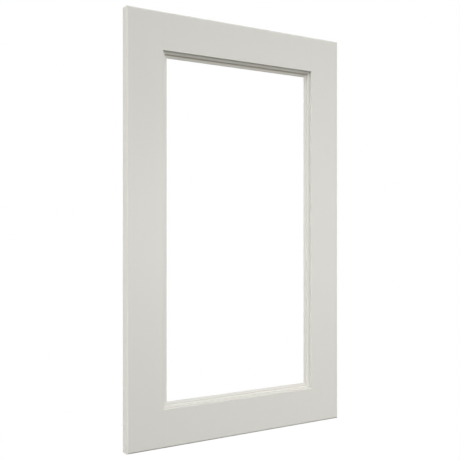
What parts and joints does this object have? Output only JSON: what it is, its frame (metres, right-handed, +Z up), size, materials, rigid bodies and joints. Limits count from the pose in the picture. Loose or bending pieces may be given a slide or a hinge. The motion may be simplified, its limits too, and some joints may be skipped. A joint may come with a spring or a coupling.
{
  "type": "kitchen cabinet door",
  "caption": "Open-frame kitchen cabinet door in painted timber, with a planted bead round the opening, a seat for a pane and hinge cups bored in the back.",
  "frame": {"origin": "middle of the bottom edge, halfway through the thickness", "axes": "+X across the door, to the right seen from the front; +Z up; the moulded face looks along -Y and the back along +Y"},
  "size_m": [0.43, 0.019, 0.716],
  "materials": {
    "painted_timber": "satin warm light grey paint",
    "painted_bead": "satin warm light grey paint",
    "beech": "bare fluted beech"
  },
  "bodies": {
    "root": {"left_stile": "painted_timber", "right_stile": "painted_timber", "top_rail": "painted_timber", "bottom_rail": "painted_timber", "bead_top": "painted_bead", "bead_bottom": "painted_bead", "bead_left": "painted_bead", "bead_right": "painted_bead", "dowel_top_left_upper": "beech", "dowel_top_left_lower": "beech", "dowel_top_right_upper": "beech", "dowel_top_right_lower": "beech", "dowel_bottom_left_upper": "beech", "dowel_bottom_left_lower": "beech", "dowel_bottom_right_upper": "beech", "dowel_bottom_right_lower": "beech"}
  },
  "joints": []
}
